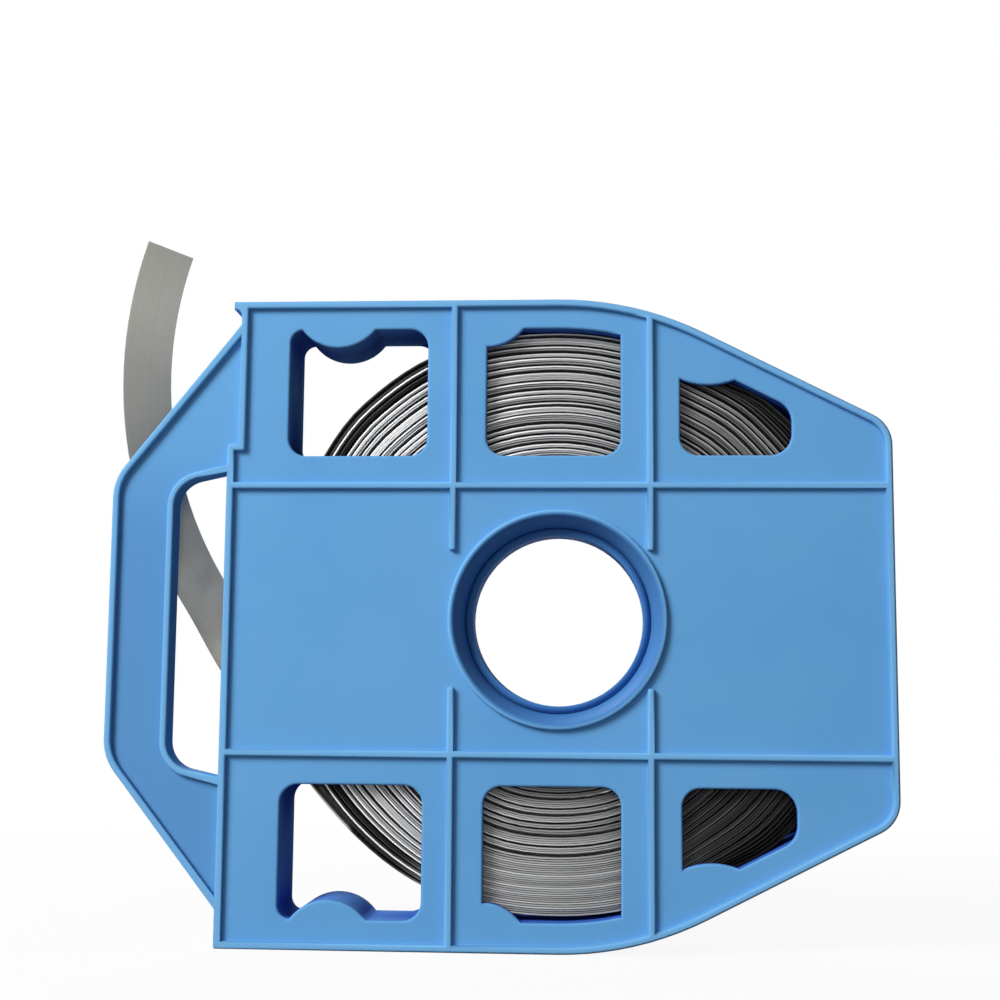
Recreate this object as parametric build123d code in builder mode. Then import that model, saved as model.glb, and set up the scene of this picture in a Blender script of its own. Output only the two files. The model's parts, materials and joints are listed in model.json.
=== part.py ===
"""Steel band coil in a moulded carry case: two half shells round a hub, and the band with its free end.

Frame: X to the right, Y from the front shell to the rear one, Z up. The origin lies on the floor under
the hub axis, on the parting plane of the two shells. All lengths are millimetres.
"""
import os
from math import cos, radians, sin, tan

from build123d import *

# Steel band
COIL_RADIUS = 112.4         # outer turn of the coil
BAND_WIDTH = 19.0
BAND_THICKNESS = 0.7
RIDGE_DEPTH = 1.6           # the turns in the middle of a group stand out by this much
TAIL_LEAVE_ANGLE = 213.2    # direction from the hub where the free end leaves the coil, degrees
TAIL_STRAIGHT = 83.7        # straight run to the outlet, along which the band twists
TAIL_TWIST = 113.0          # degrees
TAIL_RADIUS = 166.0         # curl of the free end outside the case
TAIL_TURN = 51.0            # degrees
TWIST_SHARES = (0.0, 0.125, 0.25, 0.375, 0.5, 0.625, 0.75, 0.875, 1.0)
# Ends of the groups of turns, from the inner turn to the outer one
GROUP_SHARES = (0.0, 0.1, 0.222, 0.322, 0.444, 0.556, 0.666, 0.778, 0.9, 1.0)

# Case outline, seen from the front
LEFT_MARGIN = 16.1          # coil to the left edge
RIGHT_MARGIN = 14.6         # coil to the right edge
SLANT_ANGLE = 26.9          # slope of the long edges on the right, degrees
NOSE_RADIUS = 13.0          # corner between a slanted edge and the right edge
STEP_DEPTH = 4.2            # the left edge is set in by this much near the top
STEP_DROP = 56.5            # length of that set-in stretch, from the top
HOOK_REACH = 3.0            # the top rim runs past the left edge by this much
HOOK_HEIGHT = 3.0
HOOK_RADIUS = 2.8           # hollow under the end of the top rim

# Case section, front to back
SIDE_CLEARANCE = 2.7        # coil to each plate
PLATE = 2.5                 # thickness of the two plates
RIM_PROUD = 2.5             # rim, ribs and hub ring above the plate
RIM_WIDTH = 2.7             # width of the rim and of the outer wall below it
RIM_CHAMFER = 0.6           # outer edge of the rim
RIB_WIDTH = 2.6
INNER_WALL = 2.0            # thickness of the wall round the coil space

# Windows and the wall round the coil space
WALL_INSET = 11.0           # case outline to the inside of the wall
COIL_CLEARANCE = 0.6        # coil to the inside of the wall
POCKET_WIDTH = 23.5         # left edge to the corner windows
POCKET_RADIUS = 5.0         # outer corners of the corner windows
WINDOW_HEIGHT = 50.0
WINDOW_RADIUS = 7.0
RIGHT_WINDOW_TIP = 18.3     # height of the right windows at their round end
RIGHT_WINDOW_RADIUS = 8.5
GUIDE_RADIUS = 18.2         # posts and middle tabs that guide the coil, centred on the case outline
POST_SETBACK = 19.0         # left end of the corner windows to the post in them
RIGHT_TAB_RADIUS = 27.0     # the flatter tabs in the right windows
RIGHT_TAB_REACH = 19.3      # case outline to the tip of those tabs

# Places to the left and right of the hub axis, as shares of the coil's radius
LEFT_WINDOW_END_SHARE = 0.4515       # right end of the corner windows
LEFT_RIB_SHARE = 0.3577
MID_TAB_SHARE = 0.2473
MID_WINDOW_LEFT_SHARE = 0.2456
MID_WINDOW_RIGHT_SHARE = 0.2153
RIGHT_RIB_SHARE = 0.3158
RIGHT_WINDOW_START_SHARE = 0.4181
RIGHT_TAB_SHARE = 0.516

# Ribs
CROSS_RIB_MARGIN = 11.8     # windows to the two level ribs
RIB_GAP = 26.0              # the upright ribs stop this far above and below the hub axis

# Band outlet in the left wall
OUTLET_MARGIN = 3.2         # its ends, from the level ribs
OUTLET_WIDTH = 22.0

# Hub
BORE_RADIUS = 33.0
SPIGOT_WALL = 2.8
SPIGOT_CLEARANCE = 0.2
SPIGOT_LENGTH = 6.0         # past the parting plane
SOCKET_DEPTH = 8.0          # length of the straight part of the hub, from the parting plane
HUB_FLARE = 5.8             # socket to the outside of the hub ring
HUB_RING_WIDTH = 2.1
HUB_CLEARANCE = 8.2         # hub to the inner turn of the coil

# Handle on the front shell
HAND_HOLD_WIDTH = 20.4
GRIP_WIDTH = 24.3
ARM_ANGLE = 51.3            # slope of the arms, degrees
ARM_DROP = 9.4              # top of the case to where an arm's outer edge meets the set-in left edge
ARM_WIDTH = 58.2            # upper arm, along the left edge of the case
LOWER_ARM_WIDTH = 54.0
HOLD_FALL = 4.5             # the ends of the hand-hold slope by this much
HOLD_RADIUS = 11.0
GRIP_BEND = 20.0
HANDLE_DEPTH = 10.0         # front to back

# Distances from the hub axis that follow
HUB_HEIGHT = COIL_RADIUS + COIL_CLEARANCE + WALL_INSET
LEFT_REACH = COIL_RADIUS + LEFT_MARGIN
RIGHT_REACH = COIL_RADIUS + RIGHT_MARGIN
STEP_REACH = LEFT_REACH - STEP_DEPTH
POCKET_REACH = LEFT_REACH - POCKET_WIDTH
WINDOW_START = HUB_HEIGHT - WALL_INSET - WINDOW_HEIGHT
CROSS_RIB = WINDOW_START - CROSS_RIB_MARGIN
HOLD_REACH = LEFT_REACH + HAND_HOLD_WIDTH
HANDLE_REACH = HOLD_REACH + GRIP_WIDTH
ARM_HEIGHT = HUB_HEIGHT - ARM_DROP
LEFT_WINDOW_END = COIL_RADIUS * LEFT_WINDOW_END_SHARE
LEFT_RIB = COIL_RADIUS * LEFT_RIB_SHARE
MID_TAB = COIL_RADIUS * MID_TAB_SHARE
MID_WINDOW_LEFT = COIL_RADIUS * MID_WINDOW_LEFT_SHARE
MID_WINDOW_RIGHT = COIL_RADIUS * MID_WINDOW_RIGHT_SHARE
RIGHT_RIB = COIL_RADIUS * RIGHT_RIB_SHARE
RIGHT_WINDOW_START = COIL_RADIUS * RIGHT_WINDOW_START_SHARE
RIGHT_TAB = COIL_RADIUS * RIGHT_TAB_SHARE
SOCKET_RADIUS = BORE_RADIUS + SPIGOT_WALL + SPIGOT_CLEARANCE
HUB_RING_RADIUS = SOCKET_RADIUS + HUB_FLARE
COIL_INNER_RADIUS = HUB_RING_RADIUS + HUB_CLEARANCE

# Levels above the parting plane
PLATE_INNER = (BAND_WIDTH + RIDGE_DEPTH) / 2 + SIDE_CLEARANCE
PLATE_OUTER = PLATE_INNER + PLATE
RIM_TOP = PLATE_OUTER + RIM_PROUD

# Planes: local X and Y are the part's X and Z from the hub axis, and the normal points to the front
HUB_POINT = (0, 0, HUB_HEIGHT)
HUB_AXIS = Axis(HUB_POINT, (0, 1, 0))
FRONT = Plane(HUB_POINT, x_dir=(1, 0, 0), z_dir=(0, -1, 0))
SECTION = Plane(HUB_POINT, x_dir=(1, 0, 0), z_dir=(0, 0, -1))

SLANT_SIN = sin(radians(SLANT_ANGLE))
SLANT_COS = cos(radians(SLANT_ANGLE))


def slanted_face(inset, left_reach):
    """Face bounded by the case's level, round and slanted edges, moved inwards, with a plain left end."""
    radius = HUB_HEIGHT - inset
    right = RIGHT_REACH - inset
    nose_height = (radius - right * SLANT_SIN) / SLANT_COS
    shoulder = (radius * SLANT_SIN, radius * SLANT_COS)
    with BuildSketch() as face:
        with BuildLine():
            Line((-left_reach, 0), (-left_reach, radius))
            Line((-left_reach, radius), (0, radius))
            RadiusArc((0, radius), shoulder, radius)
            Line(shoulder, (right, nose_height))
            Line((right, nose_height), (right, 0))
            Line((right, 0), (-left_reach, 0))
        make_face()
        fillet(face.vertices().sort_by_distance((right, nose_height))[0], NOSE_RADIUS - inset * SLANT_SIN)
        mirror(about=Plane.XZ)
    return face.sketch


def coil_space(grow, guides):
    """Face of the space that holds the coil, grown on all sides, with guides cut out above and below."""
    with BuildSketch() as face:
        add(slanted_face(WALL_INSET - grow, POCKET_REACH + grow))
        fillet(face.vertices().group_by(Axis.X)[0], POCKET_RADIUS + grow)
        with Locations((-LEFT_REACH + RIM_WIDTH - grow, 0)):
            Rectangle(LEFT_REACH, 2 * (CROSS_RIB + grow), align=(Align.MIN, Align.CENTER))
        for x, z, radius in guides:
            with Locations((x, z), (x, -z)):
                Circle(radius - grow, mode=Mode.SUBTRACT)
    return face.sketch


def window_face(start, end, end_radius, rounded_tip):
    """Window above the hub, from start to end along X, bounded outside by the wall, post and tabs."""
    with BuildSketch() as face:
        with Locations(((start + end) / 2, (WINDOW_START + HUB_HEIGHT) / 2)):
            Rectangle(end - start, HUB_HEIGHT - WINDOW_START)
        fillet(face.vertices().sort_by_distance((start, WINDOW_START))[0], WINDOW_RADIUS)
        fillet(face.vertices().sort_by_distance((end, WINDOW_START))[0], end_radius)
        add(window_space, mode=Mode.INTERSECT)
        if rounded_tip:
            fillet(face.vertices().group_by(Axis.X)[-1].sort_by(Axis.Y)[-1], end_radius)
    return face.sketch


# Case outline, with the step in its left edge, and the end of the top rim that hooks past that edge
with BuildSketch() as case:
    add(slanted_face(0, LEFT_REACH))
    with Locations((-LEFT_REACH, HUB_HEIGHT - STEP_DROP)):
        Rectangle(2 * STEP_DEPTH, HUB_HEIGHT, align=(Align.CENTER, Align.MIN), mode=Mode.SUBTRACT)

with BuildSketch() as rim_hook:
    with Locations((-STEP_REACH, HUB_HEIGHT)):
        Rectangle(HOOK_REACH, HOOK_HEIGHT + HOOK_RADIUS, align=(Align.MAX, Align.MAX))
        Rectangle(RIM_WIDTH, HOOK_HEIGHT + HOOK_RADIUS, align=(Align.MIN, Align.MAX))
    with Locations((-STEP_REACH - HOOK_RADIUS, HUB_HEIGHT - HOOK_HEIGHT - HOOK_RADIUS)):
        Circle(HOOK_RADIUS, mode=Mode.SUBTRACT)

# Posts run from plate to plate, and tabs are half-round edges of the plates that keep the coil in
posts = [(POST_SETBACK - POCKET_REACH, HUB_HEIGHT, GUIDE_RADIUS)]
right_tab_tip = (HUB_HEIGHT - RIGHT_TAB * SLANT_SIN) / SLANT_COS - RIGHT_TAB_REACH
tabs = [
    (-MID_TAB, HUB_HEIGHT, GUIDE_RADIUS),
    (RIGHT_TAB, right_tab_tip + RIGHT_TAB_RADIUS, RIGHT_TAB_RADIUS),
]

# Space for the coil, the same with its wall, and the bounds of the windows
chamber = coil_space(0, posts)
walled_chamber = coil_space(INNER_WALL, posts)
window_space = coil_space(0, posts + tabs)

# Six windows in each plate
tip_height = WINDOW_START + RIGHT_WINDOW_TIP
right_window_end = (HUB_HEIGHT - WALL_INSET - tip_height * SLANT_COS) / SLANT_SIN
with BuildSketch() as windows:
    add(window_face(-POCKET_REACH, -LEFT_WINDOW_END, WINDOW_RADIUS, True))
    add(window_face(-MID_WINDOW_LEFT, MID_WINDOW_RIGHT, WINDOW_RADIUS, False))
    add(window_face(RIGHT_WINDOW_START, right_window_end, RIGHT_WINDOW_RADIUS, True))
    mirror(about=Plane.XZ)

# What both halves share, drawn as the front one
with BuildPart() as half_shell:
    with BuildSketch(FRONT):
        add(case.sketch)
        offset(amount=-RIM_WIDTH, kind=Kind.INTERSECTION, mode=Mode.SUBTRACT)
        add(rim_hook.sketch)
    extrude(amount=RIM_TOP)
    chamfer(half_shell.faces().sort_by(Axis.Y)[0].outer_wire().edges(), RIM_CHAMFER)
    with BuildSketch(FRONT):
        add(walled_chamber)
        add(chamber, mode=Mode.SUBTRACT)
    extrude(amount=PLATE_OUTER)
    with BuildSketch(FRONT.offset(PLATE_INNER)):
        offset(case.sketch, amount=-RIM_WIDTH / 2, kind=Kind.INTERSECTION)
        add(windows.sketch, mode=Mode.SUBTRACT)
        Circle(HUB_RING_RADIUS - HUB_RING_WIDTH / 2, mode=Mode.SUBTRACT)
    extrude(amount=PLATE)
    with BuildSketch(FRONT.offset(PLATE_OUTER)):
        for side in (1, -1):
            with Locations((0, side * CROSS_RIB)):
                Rectangle(2 * (LEFT_REACH + RIGHT_REACH), RIB_WIDTH)
            with Locations((-LEFT_RIB, side * RIB_GAP), (RIGHT_RIB, side * RIB_GAP)):
                Rectangle(RIB_WIDTH, HUB_HEIGHT, align=(Align.CENTER, Align.MIN if side > 0 else Align.MAX))
        offset(case.sketch, amount=-RIM_WIDTH / 2, kind=Kind.INTERSECTION, mode=Mode.INTERSECT)
        Circle(HUB_RING_RADIUS - HUB_RING_WIDTH / 2, mode=Mode.SUBTRACT)
    extrude(amount=RIM_PROUD)
    with BuildSketch(FRONT):
        with Locations((-LEFT_REACH, 0)):
            Rectangle(2 * (RIM_WIDTH + INNER_WALL), 2 * (CROSS_RIB - OUTLET_MARGIN))
    extrude(amount=OUTLET_WIDTH / 2, mode=Mode.SUBTRACT)

# Handle outline and hand-hold, drawn past the case's left edge and cut back to its outer wall
handle_root = STEP_REACH - RIM_WIDTH
arm_slope = tan(radians(ARM_ANGLE))
hold_slope = HOLD_FALL / HAND_HOLD_WIDTH
with BuildSketch() as handle_outline:
    with BuildLine():
        grip_top = (-HANDLE_REACH, ARM_HEIGHT - (HANDLE_REACH - STEP_REACH) * arm_slope)
        arm_top = (-handle_root, ARM_HEIGHT + (STEP_REACH - handle_root) * arm_slope)
        Polyline((-HANDLE_REACH, 0), grip_top, arm_top, (-handle_root, 0), close=True)
    make_face()
    fillet(handle_outline.vertices().sort_by_distance(grip_top)[0], GRIP_BEND)
    mirror(about=Plane.XZ)

with BuildSketch() as hand_hold:
    with BuildLine():
        upper_end = ARM_HEIGHT - ARM_WIDTH
        lower_end = LOWER_ARM_WIDTH - ARM_HEIGHT
        root_rise = (LEFT_REACH - handle_root) * hold_slope
        Polyline(
            (-handle_root, upper_end + root_rise),
            (-HOLD_REACH, upper_end - HOLD_FALL),
            (-HOLD_REACH, lower_end + HOLD_FALL),
            (-handle_root, lower_end - root_rise),
            close=True,
        )
    make_face()
    fillet(hand_hold.vertices().group_by(Axis.X)[0], HOLD_RADIUS)

# Front shell: the shared half, its hub socket and the handle
with BuildPart() as front_shell:
    add(half_shell.part)
    with BuildSketch(SECTION):
        with BuildLine():
            mouth = (HUB_RING_RADIUS - HUB_RING_WIDTH, RIM_TOP)
            throat = (SOCKET_RADIUS, SOCKET_DEPTH)
            Polyline(
                throat,
                (SOCKET_RADIUS, 0),
                (HUB_RING_RADIUS, 0),
                (HUB_RING_RADIUS, RIM_TOP),
                mouth,
                close=True,
            )
        make_face()
    revolve(axis=HUB_AXIS)
    with BuildSketch(FRONT.offset(PLATE_INNER)):
        add(handle_outline.sketch)
        add(hand_hold.sketch, mode=Mode.SUBTRACT)
        offset(case.sketch, amount=-RIM_WIDTH / 2, kind=Kind.INTERSECTION, mode=Mode.SUBTRACT)
    extrude(amount=PLATE)
    with BuildSketch(FRONT.offset(RIM_TOP - HANDLE_DEPTH)):
        add(handle_outline.sketch)
        offset(handle_outline.sketch, amount=-RIM_WIDTH, kind=Kind.INTERSECTION, mode=Mode.SUBTRACT)
        offset(hand_hold.sketch, amount=RIM_WIDTH, mode=Mode.ADD)
        add(hand_hold.sketch, mode=Mode.SUBTRACT)
        offset(case.sketch, amount=-RIM_WIDTH / 2, kind=Kind.INTERSECTION, mode=Mode.SUBTRACT)
    extrude(amount=HANDLE_DEPTH)

# Rear shell: the shared half turned to the back, with the spigot that plugs into the front hub
with BuildPart() as rear_shell:
    add(mirror(half_shell.part, about=Plane.XZ, mode=Mode.PRIVATE))
    with BuildSketch(SECTION):
        with BuildLine():
            mouth = (HUB_RING_RADIUS - HUB_RING_WIDTH, -RIM_TOP)
            throat = (BORE_RADIUS, -SOCKET_DEPTH)
            spigot_radius = SOCKET_RADIUS - SPIGOT_CLEARANCE
            Polyline(
                throat,
                (BORE_RADIUS, SPIGOT_LENGTH),
                (spigot_radius, SPIGOT_LENGTH),
                (spigot_radius, 0),
                (HUB_RING_RADIUS, 0),
                (HUB_RING_RADIUS, -RIM_TOP),
                mouth,
                close=True,
            )
        make_face()
    revolve(axis=HUB_AXIS)

# Steel band: the coil, as wide as the band at every turn, then the twisted run to the outlet and the curl
coil_depth = COIL_RADIUS - COIL_INNER_RADIUS
peak = (BAND_WIDTH + RIDGE_DEPTH) / 2
valley = (BAND_WIDTH - RIDGE_DEPTH) / 2
ridge_line = [(COIL_INNER_RADIUS, valley)]
for start_share, end_share in zip(GROUP_SHARES, GROUP_SHARES[1:]):
    ridge_line.append((COIL_INNER_RADIUS + coil_depth * (start_share + end_share) / 2, peak))
    ridge_line.append((COIL_INNER_RADIUS + coil_depth * end_share, valley))
other_line = [(radius, level - BAND_WIDTH) for radius, level in reversed(ridge_line)]

leave_angle = radians(TAIL_LEAVE_ANGLE)
leave_radius = COIL_RADIUS - BAND_THICKNESS
outward = Vector(cos(leave_angle), 0, sin(leave_angle))
along = Vector(sin(leave_angle), 0, -cos(leave_angle))
leave_point = Vector(*HUB_POINT) + outward * leave_radius
across = Vector(0, 1, 0)


def tail_plane(share):
    """Cross-section plane of the free end, at a share of its straight run."""
    eased = share * share * (3 - 2 * share)
    twist = radians(TAIL_TWIST * eased)
    width_direction = across * cos(twist) + outward * sin(twist)
    return Plane(leave_point + along * (share * TAIL_STRAIGHT), x_dir=width_direction, z_dir=along)


with BuildPart() as steel_band:
    with BuildSketch(SECTION):
        with BuildLine():
            Polyline(*ridge_line, *other_line, close=True)
        make_face()
    revolve(axis=HUB_AXIS)
    for share in TWIST_SHARES:
        with BuildSketch(tail_plane(share)):
            Rectangle(BAND_WIDTH, BAND_THICKNESS)
    loft(ruled=True)
    curl_centre = leave_point + along * TAIL_STRAIGHT - outward * TAIL_RADIUS
    with BuildSketch(tail_plane(1)):
        Rectangle(BAND_WIDTH, BAND_THICKNESS)
    revolve(axis=Axis(curl_centre, (0, 1, 0)), revolution_arc=TAIL_TURN)

os.makedirs("parts", exist_ok=True)
front_shell.part.label = "front_shell"
export_step(front_shell.part, "parts/front_shell.step")
rear_shell.part.label = "rear_shell"
export_step(rear_shell.part, "parts/rear_shell.step")
steel_band.part.label = "steel_band"
export_step(steel_band.part, "parts/steel_band.step")
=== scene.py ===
"""Looks of a steel band coil in a moulded carry case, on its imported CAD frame. Lengths are metres."""

import json
import logging
import math
import random
from dataclasses import dataclass
from enum import Enum

import bmesh
import bpy
from mathutils import Matrix, Vector
from mathutils.geometry import interpolate_bezier

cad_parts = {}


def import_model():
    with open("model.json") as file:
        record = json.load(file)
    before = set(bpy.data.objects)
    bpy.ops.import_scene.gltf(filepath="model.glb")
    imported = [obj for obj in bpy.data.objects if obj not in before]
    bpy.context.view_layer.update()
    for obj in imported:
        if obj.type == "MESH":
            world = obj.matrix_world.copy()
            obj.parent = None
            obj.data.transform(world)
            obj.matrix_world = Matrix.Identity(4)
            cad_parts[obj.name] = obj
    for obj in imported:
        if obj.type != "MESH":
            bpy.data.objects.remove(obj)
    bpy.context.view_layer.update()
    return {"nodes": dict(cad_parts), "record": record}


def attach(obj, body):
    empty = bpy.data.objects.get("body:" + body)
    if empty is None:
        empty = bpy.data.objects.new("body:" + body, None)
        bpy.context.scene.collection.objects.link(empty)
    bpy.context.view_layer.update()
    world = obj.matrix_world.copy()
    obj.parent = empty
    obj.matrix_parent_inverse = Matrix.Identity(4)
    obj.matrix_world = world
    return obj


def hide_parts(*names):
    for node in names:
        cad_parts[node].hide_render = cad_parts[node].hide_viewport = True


LOG = logging.getLogger("coil_scene")
MM = 0.001


class Slot(str, Enum):
    """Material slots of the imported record."""

    PLASTIC = "case_plastic"
    STEEL = "band_steel"


class Half(str, Enum):
    """The two CAD nodes of the case."""

    FRONT = "front_shell"
    REAR = "rear_shell"


class NodeKit:
    """Adds and joins shader nodes in one node tree."""

    def __init__(self, tree: bpy.types.NodeTree) -> None:
        self.tree = tree

    def add(self, kind: str, values: dict | None = None, **settings: object) -> bpy.types.Node:
        """Add a node.

        Args:
            kind: Blender's node type.
            values: Socket values by socket name.
            settings: Attributes of the node.

        Returns:
            The new node.
        """
        node = self.tree.nodes.new(kind)
        for name, value in settings.items():
            setattr(node, name, value)
        for name, value in (values or {}).items():
            node.inputs[name].default_value = value
        return node

    def join(self, source: bpy.types.NodeSocket, target: bpy.types.NodeSocket) -> None:
        """Link an output socket to an input socket."""
        self.tree.links.new(source, target)

    def ramp(self, source: bpy.types.NodeSocket, stops: list[tuple[float, tuple]]) -> bpy.types.Node:
        """Add a colour ramp.

        Args:
            source: Socket that drives it.
            stops: Positions and colours, the first and the last being its ends.

        Returns:
            The ramp node.
        """
        node = self.add("ShaderNodeValToRGB")
        elements = node.color_ramp.elements
        elements[0].position, elements[0].color = stops[0]
        elements[1].position, elements[1].color = stops[-1]
        for position, colour in stops[1:-1]:
            elements.new(position).color = colour
        self.join(source, node.inputs["Fac"])
        return node

    def fade(self, span: tuple[bpy.types.NodeSocket, float, float], most: float) -> bpy.types.NodeSocket:
        """Ease a value from 0 to a number.

        Args:
            span: The value, the end that gives 0 and the end that gives the number.
            most: The number.

        Returns:
            The eased value.
        """
        value, none, full = span
        limits = {"From Min": none, "From Max": full, "To Max": most}
        node = self.add("ShaderNodeMapRange", limits, interpolation_type="SMOOTHSTEP")
        self.join(value, node.inputs["Value"])
        return node.outputs["Result"]


def grey(level: float) -> tuple[float, float, float, float]:
    """Return an opaque grey."""
    return (level, level, level, 1.0)


def smooth_step(share: float) -> float:
    """Ease a share from 0 to 1."""
    held = max(0.0, min(1.0, share))
    return held * held * (3.0 - 2.0 * held)


class SurfaceGroups:
    """Node groups that the finishes share."""

    def __init__(self) -> None:
        self.grain = self._grain()
        self.clouds = self._clouds()
        self.axis_distance = self._axis_distance()
        self.roll_lines = self._roll_lines()

    @staticmethod
    def _start(
        name: str, inputs: dict[str, str], output: str
    ) -> tuple[NodeKit, bpy.types.Node, bpy.types.Node]:
        """Start a group with its sockets.

        Args:
            name: Name of the group.
            inputs: Socket types by input name.
            output: Name of its one output, a number.
        """
        tree = bpy.data.node_groups.new(name, "ShaderNodeTree")
        for label, kind in inputs.items():
            tree.interface.new_socket(label, in_out="INPUT", socket_type=kind)
        tree.interface.new_socket(output, in_out="OUTPUT", socket_type="NodeSocketFloat")
        kit = NodeKit(tree)
        return kit, kit.add("NodeGroupInput"), kit.add("NodeGroupOutput")

    def _grain(self) -> bpy.types.NodeTree:
        """Fine moulded grain, as a height."""
        kit, given, result = self._start(
            "fine_grain", {"Vector": "NodeSocketVector", "Scale": "NodeSocketFloat"}, "Height"
        )
        noise = kit.add("ShaderNodeTexNoise", {"Detail": 3.0, "Roughness": 0.6})
        cells = kit.add("ShaderNodeTexVoronoi", feature="SMOOTH_F1")
        both = kit.add("ShaderNodeMath", operation="MULTIPLY_ADD")
        both.inputs[1].default_value = 0.5
        for texture in (noise, cells):
            kit.join(given.outputs["Vector"], texture.inputs["Vector"])
            kit.join(given.outputs["Scale"], texture.inputs["Scale"])
        kit.join(cells.outputs["Distance"], both.inputs[0])
        kit.join(noise.outputs["Fac"], both.inputs[2])
        kit.join(both.outputs["Value"], result.inputs["Height"])
        return kit.tree

    def _clouds(self) -> bpy.types.NodeTree:
        """Slow, soft variation, from 0 to 1."""
        kit, given, result = self._start(
            "soft_clouds", {"Vector": "NodeSocketVector", "Scale": "NodeSocketFloat"}, "Fac"
        )
        noise = kit.add("ShaderNodeTexNoise", {"Detail": 4.0, "Roughness": 0.55, "Distortion": 0.4})
        spread = kit.add("ShaderNodeMapRange", {"From Min": 0.3, "From Max": 0.7})
        kit.join(given.outputs["Vector"], noise.inputs["Vector"])
        kit.join(given.outputs["Scale"], noise.inputs["Scale"])
        kit.join(noise.outputs["Fac"], spread.inputs["Value"])
        kit.join(spread.outputs["Result"], result.inputs["Fac"])
        return kit.tree

    def _axis_distance(self) -> bpy.types.NodeTree:
        """Distance from an axis along Y."""
        kit, given, result = self._start(
            "axis_distance", {"Vector": "NodeSocketVector", "Centre": "NodeSocketVector"}, "Distance"
        )
        offset = kit.add("ShaderNodeVectorMath", operation="SUBTRACT")
        flat = kit.add("ShaderNodeVectorMath", operation="MULTIPLY")
        flat.inputs[1].default_value = (1.0, 0.0, 1.0)
        length = kit.add("ShaderNodeVectorMath", operation="LENGTH")
        kit.join(given.outputs["Vector"], offset.inputs[0])
        kit.join(given.outputs["Centre"], offset.inputs[1])
        kit.join(offset.outputs["Vector"], flat.inputs[0])
        kit.join(flat.outputs["Vector"], length.inputs[0])
        kit.join(length.outputs["Value"], result.inputs["Distance"])
        return kit.tree

    def _roll_lines(self) -> bpy.types.NodeTree:
        """Fine lines that follow a band wound round an axis along Y, from 0 to 1."""
        kit, given, result = self._start(
            "roll_lines", {"Vector": "NodeSocketVector", "Centre": "NodeSocketVector"}, "Fac"
        )
        radius = kit.add("ShaderNodeGroup")
        radius.node_tree = self.axis_distance
        parts = kit.add("ShaderNodeSeparateXYZ")
        place = kit.add("ShaderNodeCombineXYZ")
        noise = kit.add("ShaderNodeTexNoise", {"Scale": 2600.0, "Detail": 3.0, "Roughness": 0.7})
        kit.join(given.outputs["Vector"], radius.inputs["Vector"])
        kit.join(given.outputs["Centre"], radius.inputs["Centre"])
        kit.join(given.outputs["Vector"], parts.inputs["Vector"])
        kit.join(radius.outputs["Distance"], place.inputs["X"])
        kit.join(parts.outputs["Y"], place.inputs["Y"])
        kit.join(place.outputs["Vector"], noise.inputs["Vector"])
        kit.join(noise.outputs["Fac"], result.inputs["Fac"])
        return kit.tree


class Finish:
    """Base of the finishes: a material with its Principled shader and object coordinates."""

    @staticmethod
    def start(name: str) -> tuple[bpy.types.Material, NodeKit, bpy.types.Node, bpy.types.NodeSocket]:
        """Start a material.

        Args:
            name: Name of the material.

        Returns:
            The material, its kit, its Principled shader and the object coordinates.
        """
        material = bpy.data.materials.new(name)
        material.use_nodes = True
        kit = NodeKit(material.node_tree)
        shader = material.node_tree.nodes["Principled BSDF"]
        place = kit.add("ShaderNodeTexCoord").outputs["Object"]
        return material, kit, shader, place

    @staticmethod
    def use(
        kit: NodeKit, group: bpy.types.NodeTree, place: bpy.types.NodeSocket, values: dict
    ) -> bpy.types.NodeSocket:
        """Add a shared group.

        Args:
            kit: Kit of the material.
            group: The shared group.
            place: Socket of the coordinates.
            values: Values of the group's other inputs by name.

        Returns:
            The group's output.
        """
        node = kit.add("ShaderNodeGroup")
        node.node_tree = group
        for name, value in values.items():
            node.inputs[name].default_value = value
        kit.join(place, node.inputs["Vector"])
        return node.outputs[0]


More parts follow.
